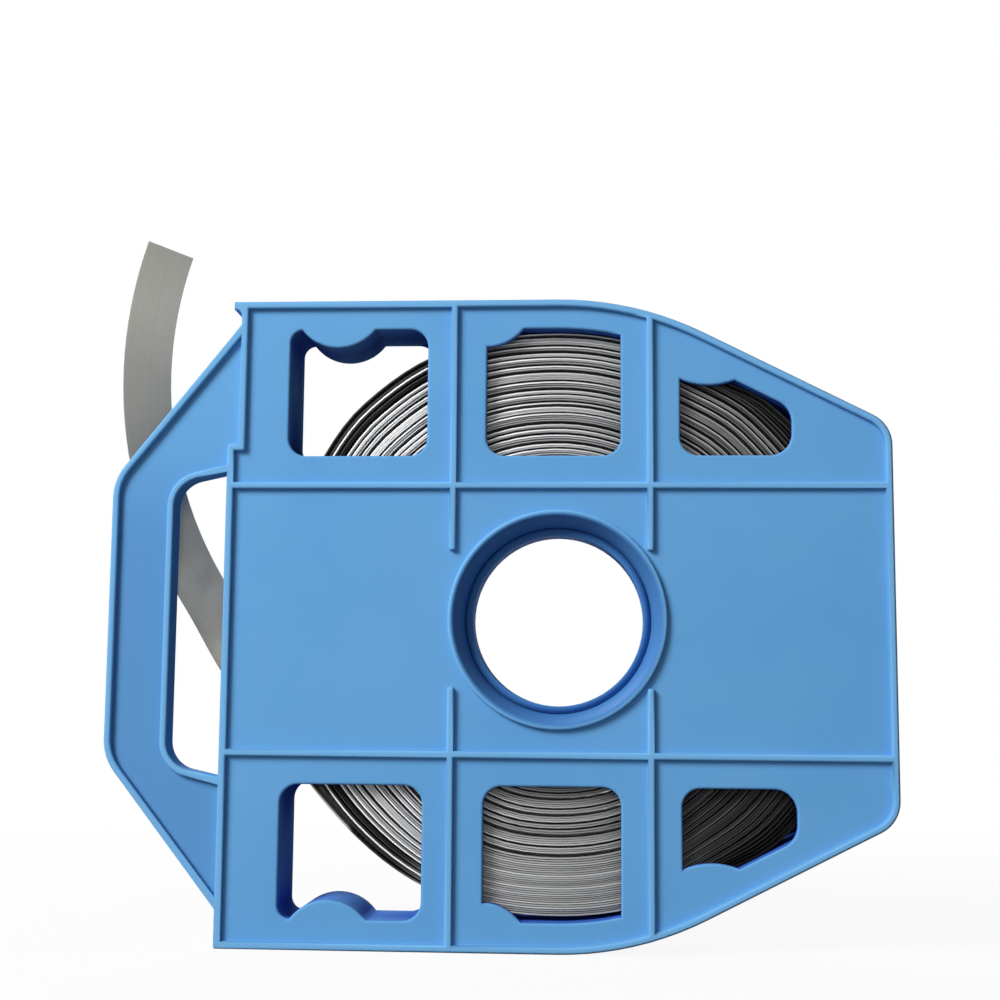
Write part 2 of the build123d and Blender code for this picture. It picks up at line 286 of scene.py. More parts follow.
@dataclass(frozen=True)
class MouldedPlastic(Finish):
    """Satin blue moulded plastic with fine grain and soft edges, with painted shade and painted highlights:
    a deep navy in its recesses, a darker blue inside the hub, a darker handle and lighter rim and rib tops.
    """

    hub: tuple
    light: tuple = (0.155, 0.420, 0.770, 1.0)
    deep: tuple = (0.130, 0.385, 0.740, 1.0)
    # painted shade: the handle is darker towards its far left and towards the bottom
    handle_painted_shade: tuple = (0.108, 0.305, 0.620, 1.0)
    handle_shade_from: tuple = (-122.0 * MM, 205.0 * MM)
    handle_shade_to: tuple = (-134.0 * MM, 150.0 * MM)
    handle_shade_strength: float = 0.85
    # painted highlight: the tops of the rims and ribs are lighter
    rim_top_painted_highlight: tuple = (0.200, 0.500, 0.860, 1.0)
    highlight_levels: tuple = (17.2 * MM, 17.9 * MM)
    highlight_strength: float = 0.8
    # painted shade: a darker blue inside the hub's central hole
    bore_painted_shade: tuple = (0.055, 0.200, 0.520, 1.0)
    bore_shade_radii: tuple = (41.4 * MM, 39.8 * MM)
    bore_shade_strength: float = 0.85
    # painted shade: a deep navy in the recesses behind the face where ambient occlusion is low, kept off the
    # hub and the far left of the case
    hollow_painted_shade: tuple = (0.028, 0.085, 0.580, 1.0)
    hollow_shade_radii: tuple = (44.0 * MM, 47.0 * MM)
    hollow_shade_levels: tuple = (15.4 * MM, 15.0 * MM)
    case_side: tuple = (-128.0 * MM, -123.0 * MM)
    hollow_reach: float = 70.0 * MM
    hollow_shade_openness: tuple = (0.80, 0.35)
    hollow_shade_strength: float = 0.9
    openness_samples: int = 8
    edge_soft: float = 0.9 * MM
    edge_samples: int = 6
    cloud_scale: float = 14.0
    smear_scale: float = 45.0
    roughness_span: tuple = (0.33, 0.44)
    hollow_roughness: float = 1.0
    dull_openness: tuple = (0.84, 0.6)
    specular: float = 0.03
    grain_scale: float = 1500.0
    grain_height: float = 0.03 * MM
    grain_strength: float = 0.25

    def build(self, name: str, groups: SurfaceGroups) -> bpy.types.Material:
        """Build the material.

        Args:
            name: Name of the material.
            groups: The shared node groups.

        Returns:
            The material.
        """
        material, kit, shader, place = self.start(name)
        clouds = self.use(kit, groups.clouds, place, {"Scale": self.cloud_scale})
        parts = kit.add("ShaderNodeSeparateXYZ")
        kit.join(place, parts.inputs["Vector"])
        level = kit.add("ShaderNodeMath", operation="ABSOLUTE")
        kit.join(parts.outputs["Y"], level.inputs[0])
        plain = kit.ramp(clouds, [(0.0, self.deep), (1.0, self.light)]).outputs["Color"]
        handle_painted_shade = self._share(
            kit,
            [
                (parts.outputs["X"], self.handle_shade_from[0], self.handle_shade_to[0]),
                (parts.outputs["Z"], self.handle_shade_from[1], self.handle_shade_to[1]),
            ],
            self.handle_shade_strength,
        )
        rim_highlight_share = self._share(kit, [(level.outputs["Value"], *self.highlight_levels)], self.highlight_strength)
        radius = self.use(kit, groups.axis_distance, place, {"Centre": self.hub})
        bore_painted_shade = self._share(kit, [(radius, *self.bore_shade_radii)], self.bore_shade_strength)
        openness = kit.add(
            "ShaderNodeAmbientOcclusion", {"Distance": self.hollow_reach}, samples=self.openness_samples
        )
        # painted shade in the recesses: the share grows where ambient occlusion is low, outside the hub,
        # behind the face and clear of the far left
        depth = self._share(
            kit,
            [
                (openness.outputs["AO"], *self.hollow_shade_openness),
                (radius, *self.hollow_shade_radii),
                (level.outputs["Value"], *self.hollow_shade_levels),
                (parts.outputs["X"], *self.case_side),
            ],
            self.hollow_shade_strength,
        )
        # over the plain colour go the painted shade on the handle, the painted highlight on the rim tops,
        # and the painted shade inside the hub and in the recesses
        colour = self._mixed(kit, plain, self.handle_painted_shade, handle_painted_shade)
        colour = self._mixed(kit, colour, self.rim_top_painted_highlight, rim_highlight_share)
        colour = self._mixed(kit, colour, self.bore_painted_shade, bore_painted_shade)
        colour = self._mixed(kit, colour, self.hollow_painted_shade, depth)
        kit.join(colour, shader.inputs["Base Color"])
        smears = self.use(kit, groups.clouds, place, {"Scale": self.smear_scale})
        least, most = self.roughness_span
        gloss = kit.add("ShaderNodeMapRange", {"To Min": least, "To Max": most})
        kit.join(smears, gloss.inputs["Value"])
        open_end, closed_end = self.dull_openness
        dullness = kit.add("ShaderNodeMapRange", {"From Min": open_end, "From Max": closed_end})
        kit.join(openness.outputs["AO"], dullness.inputs["Value"])
        dulled = kit.add("ShaderNodeMix", data_type="FLOAT")
        dulled.inputs[3].default_value = self.hollow_roughness
        kit.join(dullness.outputs["Result"], dulled.inputs[0])
        kit.join(gloss.outputs["Result"], dulled.inputs[2])
        kit.join(dulled.outputs[0], shader.inputs["Roughness"])
        grain = self.use(kit, groups.grain, place, {"Scale": self.grain_scale})
        edges = kit.add("ShaderNodeBevel", {"Radius": self.edge_soft}, samples=self.edge_samples)
        bump = kit.add("ShaderNodeBump", {"Strength": self.grain_strength, "Distance": self.grain_height})
        kit.join(grain, bump.inputs["Height"])
        kit.join(edges.outputs["Normal"], bump.inputs["Normal"])
        kit.join(bump.outputs["Normal"], shader.inputs["Normal"])
        shader.inputs["Specular IOR Level"].default_value = self.specular
        return material

    @staticmethod
    def _share(
        kit: NodeKit, ranges: list[tuple[bpy.types.NodeSocket, float, float]], strength: float
    ) -> bpy.types.NodeSocket:
        """Multiply how far some values lie between two ends each.

        Args:
            kit: Kit of the material.
            ranges: Each value with the end that counts as 0 and the end that counts as 1.
            strength: The share where all of them count as 1.

        Returns:
            The share.
        """
        share = kit.fade(ranges[0], strength)
        for span in ranges[1:]:
            product = kit.add("ShaderNodeMath", operation="MULTIPLY")
            kit.join(share, product.inputs[0])
            kit.join(kit.fade(span, 1.0), product.inputs[1])
            share = product.outputs["Value"]
        return share

    @staticmethod
    def _mixed(
        kit: NodeKit, colour: bpy.types.NodeSocket, other: tuple, share: bpy.types.NodeSocket
    ) -> bpy.types.NodeSocket:
        """Mix another colour into a colour.

        Args:
            kit: Kit of the material.
            colour: The colour so far.
            other: The colour that is mixed in.
            share: How much of it is mixed in.

        Returns:
            The mixed colour.
        """
        mix = kit.add("ShaderNodeMix", data_type="RGBA")
        mix.inputs[7].default_value = other
        kit.join(share, mix.inputs[0])
        kit.join(colour, mix.inputs[6])
        return mix.outputs[2]


@dataclass(frozen=True)
class RolledSteel(Finish):
    """Rolled strip with lines along its length."""

    centre: tuple
    # name of the mesh attribute that holds the tone with painted glints, highlights and shade
    tone: str
    light: tuple = (0.37, 0.365, 0.332, 1.0)
    dark: tuple = (0.31, 0.305, 0.275, 1.0)
    line_stops: tuple = (0.3, 0.7)
    cloud_scale: float = 60.0
    roughness_span: tuple = (0.49, 0.63)
    metallic: float = 0.6
    specular: float = 0.5
    line_strength: float = 0.15
    line_height: float = 0.02 * MM

    def build(self, name: str, groups: SurfaceGroups) -> bpy.types.Material:
        """Build the material, with its colour scaled by the mesh's own attribute of tone and painted light:
        painted glints, highlights and shade.

        Args:
            name: Name of the material.
            groups: The shared node groups.

        Returns:
            The material.
        """
        material, kit, shader, place = self.start(name)
        lines = self.use(kit, groups.roll_lines, place, {"Centre": self.centre})
        first, last = self.line_stops
        colour = kit.ramp(lines, [(first, self.dark), (last, self.light)])
        tones_and_painted_light = kit.add("ShaderNodeAttribute", attribute_name=self.tone)
        scaled = kit.add("ShaderNodeVectorMath", operation="SCALE")
        kit.join(colour.outputs["Color"], scaled.inputs["Vector"])
        kit.join(tones_and_painted_light.outputs["Fac"], scaled.inputs["Scale"])
        kit.join(scaled.outputs["Vector"], shader.inputs["Base Color"])
        clouds = self.use(kit, groups.clouds, place, {"Scale": self.cloud_scale})
        least, most = self.roughness_span
        gloss = kit.add("ShaderNodeMapRange", {"To Min": least, "To Max": most})
        kit.join(clouds, gloss.inputs["Value"])
        kit.join(gloss.outputs["Result"], shader.inputs["Roughness"])
        bump = kit.add("ShaderNodeBump", {"Strength": self.line_strength, "Distance": self.line_height})
        kit.join(lines, bump.inputs["Height"])
        kit.join(bump.outputs["Normal"], shader.inputs["Normal"])
        shader.inputs["Metallic"].default_value = self.metallic
        shader.inputs["Specular IOR Level"].default_value = self.specular
        return material


@dataclass
class MouldedShell:
    """One half of the case: the CAD half with its edges rounded as a moulding's are."""

    half: Half
    edge_round: float = 0.9 * MM
    face_level: float = 15.4 * MM
    hook_corner: tuple = (-124.0 * MM, 241.0 * MM)
    hub_height: float = 124.0 * MM
    hub_radius: float = 37.0 * MM
    seam_round: float = 0.25 * MM
    seam_level: float = 0.02 * MM
    merge_distance: float = 0.005 * MM
    normal_weight: int = 80
    sharp_angle: float = math.radians(50.0)
    flat_angle: float = math.radians(0.4)
    crease_angle: float = math.radians(40.0)
    segments: int = 3

    def build(self, node: bpy.types.Object, material: bpy.types.Material) -> bpy.types.Object:
        """Build the shell from its CAD node.

        Args:
            node: The CAD node's object.
            material: Finish of the shell.

        Returns:
            The new piece, which rides on the frame and replaces the node.
        """
        mesh = bpy.data.meshes.new(f"{self.half.value}_moulding")
        shape = bmesh.new()
        shape.from_mesh(node.data)
        bmesh.ops.remove_doubles(shape, verts=shape.verts, dist=self.merge_distance)
        verts = [vert for vert in shape.verts if self._off_hub(vert)]
        kept = set(verts)
        bmesh.ops.dissolve_limit(
            shape,
            angle_limit=self.flat_angle,
            verts=verts,
            edges=[edge for edge in shape.edges if kept.issuperset(edge.verts)],
            use_dissolve_boundaries=False,
        )
        self._round(shape, [e for e in self._sharp(shape) if self._on_face(e)], self.edge_round, False)
        self._round(shape, [e for e in self._sharp(shape) if self._on_seam(e)], self.seam_round, True)
        for face in shape.faces:
            face.smooth = True
        shape.to_mesh(mesh)
        shape.free()
        mesh.set_sharp_from_angle(angle=self.crease_angle)
        mesh.materials.clear()
        mesh.materials.append(material)
        piece = bpy.data.objects.new(mesh.name, mesh)
        bpy.context.scene.collection.objects.link(piece)
        normals = piece.modifiers.new("face_weighted_normals", "WEIGHTED_NORMAL")
        normals.mode = "FACE_AREA_WITH_ANGLE"
        normals.weight = self.normal_weight
        normals.keep_sharp = True
        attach(piece, "root")
        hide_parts(self.half.value)
        LOG.info("%s has %d faces", mesh.name, len(mesh.polygons))
        return piece

    def _off_hub(self, vert: bmesh.types.BMVert) -> bool:
        """Tell whether a corner lies outside the hub's central hole."""
        return math.hypot(vert.co.x, vert.co.z - self.hub_height) > self.hub_radius

    def _sharp(self, shape: bmesh.types.BMesh) -> list[bmesh.types.BMEdge]:
        """Find the outward edges that are sharp enough to be rounded.

        Args:
            shape: The shell.

        Returns:
            The edges.
        """
        return [
            edge
            for edge in shape.edges
            if edge.is_manifold and edge.is_convex and edge.calc_face_angle() > self.sharp_angle
        ]

    def _on_face(self, edge: bmesh.types.BMEdge) -> bool:
        """Tell whether an edge lies on the open face of the half, clear of the small hook of the top rim.

        Args:
            edge: Edge of the shell.

        Returns:
            Whether it lies there.
        """
        left, top = self.hook_corner
        on_face = all(abs(vert.co.y) > self.face_level for vert in edge.verts)
        return on_face and not any(vert.co.x < left and vert.co.z > top for vert in edge.verts)

    def _on_seam(self, edge: bmesh.types.BMEdge) -> bool:
        """Tell whether an edge lies on the parting plane."""
        return all(abs(vert.co.y) < self.seam_level for vert in edge.verts)

    def _round(
        self, shape: bmesh.types.BMesh, edges: list[bmesh.types.BMEdge], radius: float, held_back: bool
    ) -> None:
        """Round some edges.

        Args:
            shape: The shell.
            edges: Edges to round.
            radius: Radius of the rounding.
            held_back: Whether the rounding shrinks where edges come close.
        """
        bmesh.ops.bevel(
            shape,
            geom=edges,
            offset=radius,
            offset_type="OFFSET",
            affect="EDGES",
            segments=self.segments,
            profile=0.5,
            clamp_overlap=held_back,
            material=-1,
        )


@dataclass(frozen=True)
class WoundTurn:
    """One turn of the coil.

    Attributes:
        gap: Share of the spare room outside the turn.
        low_gap: The same share where the turns sag under their weight.
        set_out: How far the turn stands out to the front.
        tone: How bright its slit edges are.
        shade: Painted highlight or painted shade on its slit edges against those of the next turns, as if
            the light came in low.
        left_painted_light_share: Painted shade and painted highlight on its slit edges on the left of the
            coil, as a share.
        right_painted_shade_share: Painted shade on its slit edges on the right of the coil, as a share.
    """

    gap: float
    low_gap: float
    set_out: float
    tone: float
    shade: float
    left_painted_light_share: float
    right_painted_shade_share: float


@dataclass
class WoundBand:
    """The steel band: a flat strip wound into a loose coil, its free end twisted and led out."""

    hub: Vector
    width: float = 19.0 * MM
    thickness: float = 0.7 * MM
    edge_round: float = 0.12 * MM
    inner_radius: float = 50.4 * MM
    outer_radius: float = 111.7 * MM
    group_sizes: tuple = (6, 7, 6, 7, 7, 6, 7, 7, 6)
    group_splits: tuple = ((3,), (2, 5), (4,), (3, 5), (4,), (1, 4), (3,), (2, 5), (2,))
    group_gap: float = 1.05
    split_gap: float = 0.585
    slack: float = 0.05 * MM
    stagger: float = 1.6 * MM
    unevenness: float = 0.16 * MM
    wander: float = 0.16 * MM
    # painted shade and painted highlight on the outer turns, outermost first: near black with white lines on
    # the left, darker on the right
    left_painted_lights: tuple = (0.05, 0.05, 3.0, 0.06, 0.05, 0.05, 2.6, 0.3, 1.2)
    right_painted_shades: tuple = (0.12, 0.16, 0.25, 0.4, 0.6, 0.8)
    top_tone: float = 1.75
    # painted shade: the wide rolled faces of the turns are darker than their slit edges
    flat_face_painted_shade: float = 0.5
    low_shade: float = 0.55
    # painted light and shade along the free end, from the coil to its tip
    tail_painted_light: tuple = (1.0, 1.0, 1.0, 1.0, 0.9, 0.85, 0.85, 1.4, 1.5, 0.68, 0.86, 1.14, 0.97)
    low_gap_shares: tuple = (3.2, 0.75, 0.9, 1.0, 1.0)
    low_gap: float = 0.05
    spring_turns: float = 4.0
    rise_shares: tuple = (0.07, 0.2)
    station: float = 6.5 * MM
    leave_angle: float = math.radians(226.0)
    outlet_angle: float = math.radians(213.2)
    tail_straight: float = 83.7 * MM
    tail_bow_shares: tuple = (0.40, 0.33)
    tail_twist: float = math.radians(113.0)
    twist_start_share: float = 0.2
    tail_radius: float = 166.0 * MM
    tail_turn: float = math.radians(51.0)
    # the attribute holds tone that differs at random together with painted glints, highlights and shade
    painted_light_attribute: str = "turn_tone_and_painted_light"
    seed: int = 11
    tone_level: float = 0.85
    tone_crown: float = 0.12
    tone_spread: float = 0.12
    least_tone: float = 0.06
    # end_shade is a painted highlight on the last turn before a gap, inner_shade painted shade on the others
    end_shade: float = 0.6
    inner_shade: float = -0.45
    shade_spread: float = 0.3
    wander_lag: float = 0.24
    crease_angle: float = math.radians(30.0)

    def build(self, materials: list[bpy.types.Material]) -> bpy.types.Object:
        """Build the band.

        Args:
            materials: Finishes of the coil and of the free end.

        Returns:
            The new piece, which rides on the frame and replaces the CAD band.
        """
        turns = self._turns()
        frames, tones_and_painted_light = self._coil_frames(turns)
        coil_count = len(frames)
        frames += self._tail_frames()
        tones_and_painted_light += self._tail_painted_light_list(len(frames) - coil_count)
        count = len(frames) - 1
        mesh = bpy.data.meshes.new("wound_band")
        shape = bmesh.new()
        flat = Matrix.Diagonal((count, self.width, 1.0, 1.0))
        bmesh.ops.create_grid(shape, x_segments=count, y_segments=1, size=0.5, matrix=flat)
        bmesh.ops.extrude_face_region(shape, geom=shape.faces[:], use_keep_orig=True)
        top = shape.verts[:][-2 * (count + 1):]
        bmesh.ops.translate(shape, verts=top, vec=(0.0, 0.0, self.thickness))
        bmesh.ops.translate(shape, verts=shape.verts, vec=(0.5 * count, 0.0, -0.5 * self.thickness))
        bmesh.ops.recalc_face_normals(shape, faces=shape.faces)
        long_edges = [e for e in shape.edges if e.calc_face_angle(0.0) > 1.0 and self._runs_along(e)]
        bmesh.ops.bevel(
            shape,
            geom=long_edges,
            offset=self.edge_round,
            affect="EDGES",
            segments=1,
            profile=0.5,
            material=-1,
        )
        for face in shape.faces:
            middle = sum(vert.co.x for vert in face.verts) / len(face.verts)
            face.material_index = 1 if middle > coil_count else 0
            face.smooth = True
        painted_light_layer = shape.verts.layers.float.new(self.painted_light_attribute)
        for vert in shape.verts:
            index = round(vert.co.x)
            # the coil's wide faces get painted shade on top of the tone and painted light of their
            # cross-section
            on_flat = index < coil_count and abs(vert.co.z) > 0.5 * self.thickness - 0.5 * self.edge_round
            vert[painted_light_layer] = tones_and_painted_light[index] * (self.flat_face_painted_shade if on_flat else 1.0)
            vert.co = frames[index] @ Vector((0.0, vert.co.y, vert.co.z))
        shape.normal_update()
        shape.to_mesh(mesh)
        shape.free()
        mesh.set_sharp_from_angle(angle=self.crease_angle)
        for material in materials:
            mesh.materials.append(material)
        piece = bpy.data.objects.new(mesh.name, mesh)
        bpy.context.scene.collection.objects.link(piece)
        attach(piece, "root")
        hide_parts("steel_band")
        LOG.info("band has %d stations and %d faces", count, len(mesh.polygons))
        return piece

    @staticmethod
    def _runs_along(edge: bmesh.types.BMEdge) -> bool:
        """Tell whether an edge of the flat strip runs along it."""
        return abs(edge.verts[0].co.x - edge.verts[1].co.x) > 0.5

    @staticmethod
    def _frame(place: Vector, along: Vector, across: Vector) -> Matrix:
        """Place a cross-section: X along the band, Y across it, Z through it.

        Args:
            place: Its middle.
            along: Direction along the band.
            across: Direction across the band.

        Returns:
            The matrix of the cross-section.
        """
        through = along.cross(across).normalized()
        matrix = Matrix((along, across, through)).transposed().to_4x4()
        matrix.translation = place
        return matrix

    @staticmethod
    def _at_angle(table: list[tuple[float, float]], angle: float) -> float:
        """Read a table of values round the hub, with eased steps.

        Args:
            table: Degrees from 0 to 360, each with its value.
            angle: Angle round the hub, in radians.

        Returns:
            The value at the angle.
        """
        degrees = math.degrees(angle) % 360.0
        for (start, low), (end, high) in zip(table, table[1:]):
            if start <= degrees <= end:
                return low + (high - low) * smooth_step((degrees - start) / (end - start))
        return table[-1][1]

    def _bulge(self, angle: float) -> float:
        """Return how far the loose outer turn stands out at an angle, in metres."""
        table = [
            (0.0, 2.4), (30.0, 3.8), (46.0, 3.2), (62.0, 0.2), (90.0, 0.4), (118.0, 2.8), (132.0, 2.2),
            (152.0, -0.6), (185.0, 0.2), (226.0, 0.6), (242.0, 0.8), (270.0, -1.0), (300.0, 0.0),
            (318.0, 3.4), (330.0, 3.8), (360.0, 2.4),
        ]
        return self._at_angle(table, angle) * MM

    def _spring(self, angle: float) -> float:
        """Return how much further the outermost turns spring out at an angle, in metres."""
        table = [
            (0.0, 0.8), (20.0, 2.6), (40.0, 2.8), (46.0, 2.0), (54.0, 0.0), (300.0, 0.0), (315.0, 2.2),
            (325.0, 2.6), (345.0, 2.2), (360.0, 0.8),
        ]
        return self._at_angle(table, angle) * MM

    def _sag(self, angle: float) -> float:
        """Return how far the outer turns lie packed together at an angle, from 0 to 1."""
        table = [(0.0, 0.0), (215.0, 0.0), (262.0, 1.0), (285.0, 1.0), (330.0, 0.0), (360.0, 0.0)]
        return self._at_angle(table, angle)

    def _painted_glint(self, angle: float) -> float:
        """Return the painted glint on the slit edges at an angle: bright at the upper left, dark at the
        lower right.
        """
        table = [
            (0.0, 0.38), (45.0, 0.5), (62.0, 0.6), (90.0, 1.05), (115.0, 1.5), (130.0, 2.0), (150.0, 1.9),
            (180.0, 1.4), (230.0, 1.5), (262.0, 1.0), (280.0, 0.85), (292.0, 0.4), (305.0, 0.11),
            (330.0, 0.1), (360.0, 0.38),
        ]
        return self._at_angle(table, angle)

    def _painted_light_contrast(self, angle: float) -> float:
        """Return how strongly the painted highlights and painted shade between the turns show at an angle.
        """
        table = [
            (0.0, 0.7), (60.0, 0.7), (80.0, 0.4), (106.0, 0.8), (130.0, 0.5), (215.0, 0.6), (250.0, 0.4),
            (270.0, 0.15), (300.0, 0.5), (360.0, 0.5),
        ]
        return self._at_angle(table, angle)

    def _left_side(self, angle: float) -> float:
        """Return how far an angle lies on the left of the coil, from 0 to 1."""
        table = [(0.0, 0.0), (96.0, 0.0), (112.0, 1.0), (236.0, 1.0), (256.0, 0.0), (360.0, 0.0)]
        return self._at_angle(table, angle)

    def _right_side(self, angle: float) -> float:
        """Return how far an angle lies on the right of the coil, from 0 to 1."""
        table = [(0.0, 1.0), (50.0, 1.0), (72.0, 0.0), (285.0, 0.0), (305.0, 1.0), (360.0, 1.0)]
        return self._at_angle(table, angle)

    def _gaps(self, group: int, index: int) -> tuple[float, float]:
        """Return the shares of the spare room outside a turn.

        Args:
            group: Number of the group of turns.
            index: Number of the turn in the group.

        Returns:
            The share, and the share where the turns sag under their weight.
        """
        gap = 0.0
        if index + 1 in self.group_splits[group]:
            gap = self.split_gap
        if index + 1 == self.group_sizes[group]:
            gap = self.group_gap
        if group < len(self.low_gap_shares):
            return gap, gap * self.low_gap_shares[group]
        return gap, self.low_gap

    def _turns(self) -> list[WoundTurn]:
        """Return the turns from the inner one outwards, in groups that stand out in their middle."""
        rough = random.Random(self.seed)
        turns: list[WoundTurn] = []
        total = sum(self.group_sizes)
        for group, (size, splits) in enumerate(zip(self.group_sizes, self.group_splits)):
            ends = (*splits, size)
            for index in range(size):
                gap, low_gap = self._gaps(group, index)
                crown = 1.0 - abs(2.0 * (index + 0.5) / size - 1.0)
                set_out = self.stagger * (crown - 0.5) + self.unevenness * rough.uniform(-1.0, 1.0)
                lift = self.tone_crown * crown
                tone = self.tone_level + lift + self.tone_spread * rough.uniform(-1.0, 1.0)
                shade = self.end_shade
                if index + 1 not in ends:
                    shade = self.inner_shade + self.shade_spread * rough.uniform(-1.0, 1.0)
                outer = total - 1 - len(turns)
                left_painted_light_share = self.left_painted_lights[outer] if outer < len(self.left_painted_lights) else 1.0
                right_painted_shade_share = self.right_painted_shades[outer] if outer < len(self.right_painted_shades) else 1.0
                turns.append(WoundTurn(gap, low_gap, set_out, tone, shade, left_painted_light_share, right_painted_shade_share))
        return turns

    def _tone_with_painted_light(self, turn: WoundTurn, angle: float) -> float:
        """Work out a turn's tone on its slit edges, with its painted glint, highlight and shade.

        Args:
            turn: The turn.
            angle: Angle round the hub, in radians.

        Returns:
            The factor on the colour of the steel.
        """
        tone = max(self.least_tone, turn.tone + turn.shade * self._painted_light_contrast(angle)) * self._painted_glint(angle)
        tone *= 1.0 + (turn.left_painted_light_share - 1.0) * self._left_side(angle)
        tone *= 1.0 + (turn.right_painted_shade_share - 1.0) * self._right_side(angle)
        return min(self.top_tone, tone)

    def _tail_painted_light_list(self, count: int) -> list[float]:
        """Work out the painted light and shade along the free end, from the coil to its tip.

        Args:
            count: Number of its cross-sections.

        Returns:
            The factor on the colour of the steel at each cross-section.
        """
        tones_and_painted_light: list[float] = []
        for index in range(count):
            place = (len(self.tail_painted_light) - 1) * index / count
            before = int(place)
            low, high = self.tail_painted_light[before:before + 2]
            tones_and_painted_light.append(low + (high - low) * (place - before))
        return tones_and_painted_light

    def _radii(self, gaps: list[float]) -> list[float]:
        """Work out the radii of the turns.

        Args:
            gaps: Each turn's share of the spare room.

        Returns:
            The radius at which each turn starts, and the one at which the last turn ends.
        """
        tight = self.thickness + self.slack
        room = self.outer_radius - self.inner_radius - tight * len(gaps)
        radii = [self.inner_radius]
        for gap in gaps:
            radii.append(radii[-1] + tight + room * gap / sum(gaps))
        return radii

    def _coil_frames(self, turns: list[WoundTurn]) -> tuple[list[Matrix], list[float]]:
        """Return the cross-sections of the coil, from its inner end outwards, and their tone with painted
        light.

        Args:
            turns: The turns from the inner one outwards.

        Returns:
            The matrices of the cross-sections and how bright each one is.
        """
        evenly = self._radii([turn.gap for turn in turns])
        packed = self._radii([turn.low_gap for turn in turns])
        count = len(turns)
        frames: list[Matrix] = []
        tones_and_painted_light: list[float] = []
        wound = 0.0
        while wound < count:
            whole = int(wound)
            first, last = self.rise_shares
            risen = smooth_step((wound - whole - first) / (last - first))
            angle = self.leave_angle + 2.0 * math.pi * (count - wound)
            level = evenly[whole] + (evenly[whole + 1] - evenly[whole]) * risen
            low_level = packed[whole] + (packed[whole + 1] - packed[whole]) * risen
            radius = level + (low_level - level) * self._sag(angle)
            here, after = turns[whole], turns[min(whole + 1, count - 1)]
            loose = min(1.0, count - wound)
            set_out = loose * (here.set_out + (after.set_out - here.set_out) * risen)
            tone = self._tone_with_painted_light(here, angle)
            tone += (self._tone_with_painted_light(after, angle) - tone) * risen
            # painted shade: the inner turns at the bottom, under the hub, are darker
            tone *= 1.0 - self.low_shade * self._sag(angle) * max(0.0, 1.0 - 2.0 * wound / count)
            depth = (radius - self.inner_radius) / (self.outer_radius - self.inner_radius)
            radius += self._bulge(angle) * depth
            radius += self.wander * loose * math.sin(angle + self.wander_lag * wound)
            sprung = (wound - count + 1.0) / self.spring_turns + 1.0
            radius += self._spring(angle) * max(0.0, min(1.0, sprung))
            frames.append(self._coil_frame(angle, radius, set_out))
            tones_and_painted_light.append(tone)
            wound += self.station / (2.0 * math.pi * radius)
        leave_radius = self.outer_radius + self._bulge(self.leave_angle)
        frames.append(self._coil_frame(self.leave_angle, leave_radius, 0.0))
        tones_and_painted_light.append(tones_and_painted_light[-1])
        return frames, tones_and_painted_light

    @staticmethod
    def _round_hub(angle: float) -> tuple[Vector, Vector]:
        """Find the directions at an angle round the hub.

        Args:
            angle: The angle, in radians.

        Returns:
            The outward direction and the direction of unwinding.
        """
        outward = Vector((math.cos(angle), 0.0, math.sin(angle)))
        along = Vector((math.sin(angle), 0.0, -math.cos(angle)))
        return outward, along

    def _coil_frame(self, angle: float, radius: float, set_out: float) -> Matrix:
        """Place a cross-section of the coil.

        Args:
            angle: Angle round the hub, in radians.
            radius: Distance from the hub's axis.
            set_out: How far it stands out to the front.

        Returns:
            The matrix of the cross-section.
        """
        outward, along = self._round_hub(angle)
        across = Vector((0.0, 1.0, 0.0))
        return self._frame(self.hub + outward * radius - across * set_out, along, across)

    def _outlet(self) -> Vector:
        """Return the point where the free end leaves the case."""
        outward, along = self._round_hub(self.outlet_angle)
        return self.hub + outward * self.outer_radius + along * self.tail_straight

    def _tail_frames(self) -> list[Matrix]:
        """Place the cross-sections of the free end: the bowed run on which it twists, then the curl.

        Returns:
            The matrices of the cross-sections.
        """
        away, heading = self._round_hub(self.leave_angle)
        leave = self.hub + away * (self.outer_radius + self._bulge(self.leave_angle))
        outlet = self._outlet()
        span = (outlet - leave).length
        first_share, last_share = self.tail_bow_shares
        after = leave + heading * (span * first_share)
        before = outlet - self._round_hub(self.outlet_angle)[1] * (span * last_share)
        steps = round(span / self.station) * 2
        places = interpolate_bezier(leave, after, before, outlet, steps + 1)
        frames: list[Matrix] = []
        for step in range(1, steps + 1):
            share = step / steps
            heading = outlet - before if step == steps else places[step + 1] - places[step - 1]
            along = heading.normalized()
            outward = Vector((-along.z, 0.0, along.x))
            twisted = (share - self.twist_start_share) / (1.0 - self.twist_start_share)
            twist = self.tail_twist * smooth_step(twisted)
            across = Vector((0.0, math.cos(twist), 0.0)) + outward * math.sin(twist)
            frames.append(self._frame(places[step], along, across))
        last = frames[-1]
        centre = Matrix.Translation(self.curl_centre())
        steps = round(self.tail_radius * self.tail_turn / self.station)
        for step in range(1, steps + 1):
            turn = Matrix.Rotation(self.tail_turn * step / steps, 4, "Y")
            frames.append(centre @ turn @ centre.inverted() @ last)
        return frames

    def curl_centre(self) -> Vector:
        """Return the centre of the free end's curl."""
        return self._outlet() - self._round_hub(self.outlet_angle)[0] * self.tail_radius


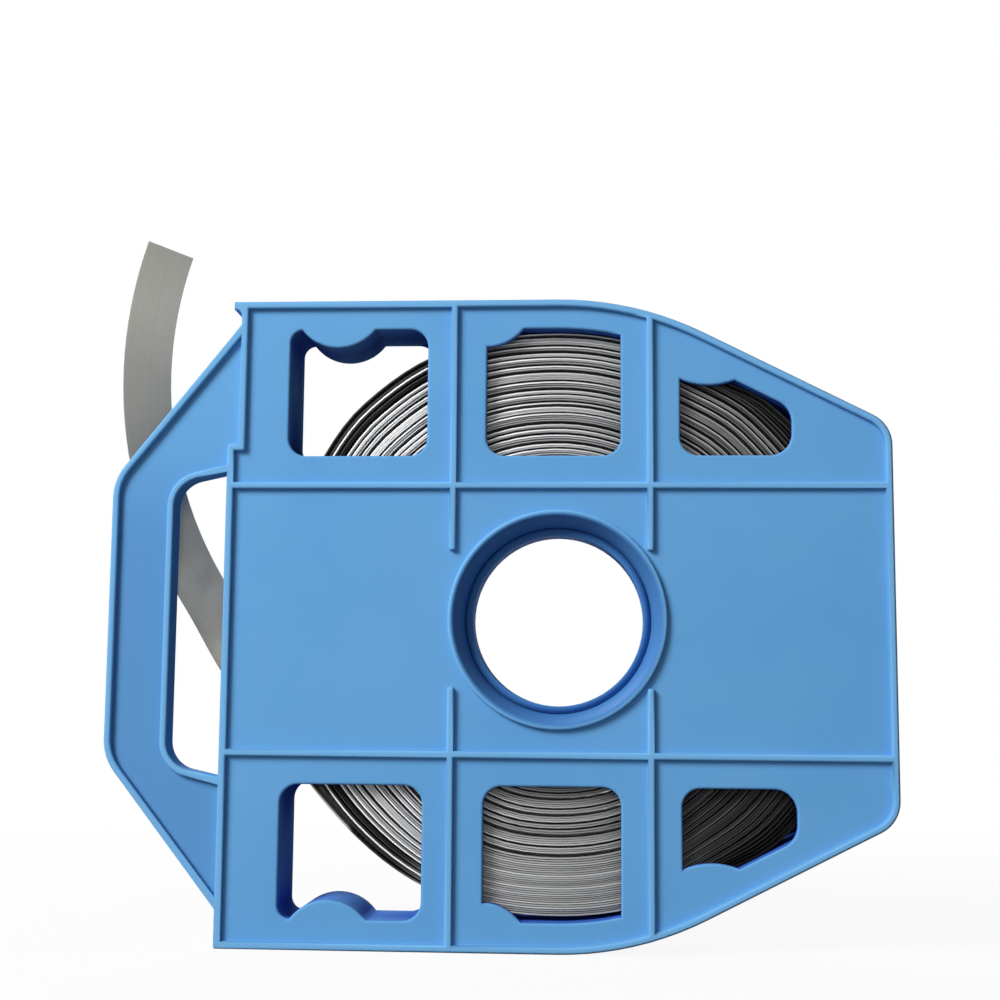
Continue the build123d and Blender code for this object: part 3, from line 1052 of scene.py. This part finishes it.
@dataclass(frozen=True)
class PhotoCamera:
    """Camera at the photograph's viewpoint."""

    place: tuple = (17.5 * MM, -625.0 * MM, 92.6 * MM)
    yaw: float = math.radians(-3.72)
    pitch: float = math.radians(7.19)
    roll: float = math.radians(-0.465)
    lens: float = 57.6
    sensor: float = 36.0

    def build(self) -> bpy.types.Object:
        """Build the camera and make it the scene's camera.

        Returns:
            The camera.
        """
        data = bpy.data.cameras.new("photo_camera")
        data.sensor_fit = "AUTO"
        data.sensor_width = self.sensor
        data.lens = self.lens
        camera = bpy.data.objects.new("photo_camera", data)
        bpy.context.scene.collection.objects.link(camera)
        level = math.cos(self.pitch)
        forward = Vector((math.sin(self.yaw) * level, math.cos(self.yaw) * level, math.sin(self.pitch)))
        right = forward.cross(Vector((0.0, 0.0, 1.0))).normalized()
        down = forward.cross(right)
        turned_right = right * math.cos(self.roll) + down * math.sin(self.roll)
        turned_down = down * math.cos(self.roll) - right * math.sin(self.roll)
        axes = Matrix((turned_right, -turned_down, -forward)).transposed().to_4x4()
        axes.translation = self.place
        camera.matrix_world = axes
        bpy.context.scene.camera = camera
        return camera


@dataclass(frozen=True)
class SoftLight:
    """One soft light that is turned to a point."""

    name: str
    place: tuple
    aim: tuple
    size: float
    power: float

    def build(self) -> None:
        """Build the light."""
        data = bpy.data.lights.new(self.name, "AREA")
        data.shape = "DISK"
        data.size = self.size
        data.energy = self.power
        light = bpy.data.objects.new(self.name, data)
        light.location = self.place
        heading = Vector(self.aim) - Vector(self.place)
        light.rotation_euler = heading.to_track_quat("-Z", "Y").to_euler()
        bpy.context.scene.collection.objects.link(light)


@dataclass(frozen=True)
class Studio:
    """Pale floor, white surround and soft lights.

    Attributes:
        floor_size: Length of the floor's sides.
        floor_tints: The floor's grey as it lights the object, and as it is seen.
        floor_roughness: Roughness of the floor.
        fade_reach: Distances from the origin between which the floor turns to plain white.
        fade_shares: Shares of plain white at those distances.
        surround_light: Strength of the surround as it lights the object.
        lights: The soft lights.
    """

    floor_size: float = 12.0
    floor_tints: tuple = (0.12, 0.8)
    floor_roughness: float = 0.9
    fade_reach: tuple = (0.2, 0.7)
    fade_shares: tuple = (0.92, 1.0)
    surround_light: float = 0.08
    lights: tuple = (
        SoftLight("key_light", (-1.35, -1.38, 1.3), (-0.02, 0.0, 0.12), 1.1, 53.0),
        SoftLight("fill_light", (-0.25, -1.9, 0.40), (0.0, 0.0, 0.12), 1.2, 4.0),
        SoftLight("back_light", (-0.6, 1.6, 1.0), (0.0, 0.0, 0.12), 1.0, 13.0),
    )

    def build(self) -> None:
        """Build the floor, the surround and the lights."""
        self._floor()
        self._surround()
        for light in self.lights:
            light.build()
        bpy.context.scene.view_settings.view_transform = "Standard"

    def _floor(self) -> None:
        """Build the floor."""
        mesh = bpy.data.meshes.new("floor")
        shape = bmesh.new()
        bmesh.ops.create_grid(shape, x_segments=1, y_segments=1, size=0.5 * self.floor_size)
        shape.to_mesh(mesh)
        shape.free()
        material = bpy.data.materials.new("pale_floor")
        material.use_nodes = True
        kit = NodeKit(material.node_tree)
        shader = material.node_tree.nodes["Principled BSDF"]
        shader.inputs["Roughness"].default_value = self.floor_roughness
        seen = self._seen(kit)
        lit_tint, seen_tint = self.floor_tints
        tint = kit.add("ShaderNodeMapRange", {"To Min": lit_tint, "To Max": seen_tint})
        kit.join(seen, tint.inputs["Value"])
        kit.join(tint.outputs["Result"], shader.inputs["Base Color"])
        glow = kit.add("ShaderNodeEmission", {"Color": grey(1.0), "Strength": 1.0})
        place = kit.add("ShaderNodeTexCoord")
        reach = kit.add("ShaderNodeVectorMath", operation="LENGTH")
        near, far = self.fade_reach
        least, most = self.fade_shares
        limits = {"From Min": near, "From Max": far, "To Min": least, "To Max": most}
        fade = kit.add("ShaderNodeMapRange", limits)
        kit.join(place.outputs["Object"], reach.inputs[0])
        kit.join(reach.outputs["Value"], fade.inputs["Value"])
        amount = kit.add("ShaderNodeMath", operation="MULTIPLY")
        kit.join(fade.outputs["Result"], amount.inputs[1])
        mixed = kit.add("ShaderNodeMixShader")
        kit.join(seen, amount.inputs[0])
        kit.join(amount.outputs["Value"], mixed.inputs["Fac"])
        kit.join(shader.outputs["BSDF"], mixed.inputs[1])
        kit.join(glow.outputs["Emission"], mixed.inputs[2])
        kit.join(mixed.outputs["Shader"], material.node_tree.nodes["Material Output"].inputs["Surface"])
        mesh.materials.append(material)
        floor = bpy.data.objects.new("floor", mesh)
        bpy.context.scene.collection.objects.link(floor)
        floor.visible_shadow = False

    @staticmethod
    def _seen(kit: NodeKit) -> bpy.types.NodeSocket:
        """Single out the rays that show the background: to the camera, in reflections, through clear things.

        Args:
            kit: Kit of the floor's material or of the surround.

        Returns:
            1 for those rays and 0 for the others.
        """
        rays = kit.add("ShaderNodeLightPath")
        first = kit.add("ShaderNodeMath", operation="MAXIMUM")
        both = kit.add("ShaderNodeMath", operation="MAXIMUM")
        kit.join(rays.outputs["Is Camera Ray"], first.inputs[0])
        kit.join(rays.outputs["Is Glossy Ray"], first.inputs[1])
        kit.join(first.outputs["Value"], both.inputs[0])
        kit.join(rays.outputs["Is Transmission Ray"], both.inputs[1])
        return both.outputs["Value"]

    def _surround(self) -> None:
        """Make the surround white to the camera and softer to the object."""
        world = bpy.data.worlds.new("white_surround")
        world.use_nodes = True
        bpy.context.scene.world = world
        kit = NodeKit(world.node_tree)
        seen = world.node_tree.nodes["Background"]
        seen.inputs["Color"].default_value = grey(1.0)
        seen.inputs["Strength"].default_value = 1.0
        lit = kit.add("ShaderNodeBackground", {"Color": grey(1.0), "Strength": self.surround_light})
        mixed = kit.add("ShaderNodeMixShader")
        kit.join(self._seen(kit), mixed.inputs["Fac"])
        kit.join(lit.outputs["Background"], mixed.inputs[1])
        kit.join(seen.outputs["Background"], mixed.inputs[2])
        kit.join(mixed.outputs["Shader"], world.node_tree.nodes["World Output"].inputs["Surface"])


def main() -> None:
    """Dress the frame and set the stage."""
    logging.basicConfig(level=logging.INFO)
    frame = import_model()
    hub = Vector(next(m["pos_m"] for m in frame["record"]["mounts"] if m["name"] == "hub_bore"))
    hub.y = 0.0
    groups = SurfaceGroups()
    plastic = MouldedPlastic(tuple(hub)).build("moulded_plastic", groups)
    band = WoundBand(hub)
    coil_steel = RolledSteel(
        tuple(hub),
        band.painted_light_attribute,
        light=(0.56, 0.565, 0.565, 1.0),
        dark=(0.44, 0.445, 0.445, 1.0),
        metallic=0.4,
        specular=0.1,
    ).build("coil_steel", groups)
    tail_steel = RolledSteel(tuple(band.curl_centre()), band.painted_light_attribute).build("tail_steel", groups)
    for half in Half:
        MouldedShell(half).build(frame["nodes"][half.value], plastic)
    band.build([coil_steel, tail_steel])
    Studio().build()
    PhotoCamera().build()


if __name__ == "__main__":
    main()
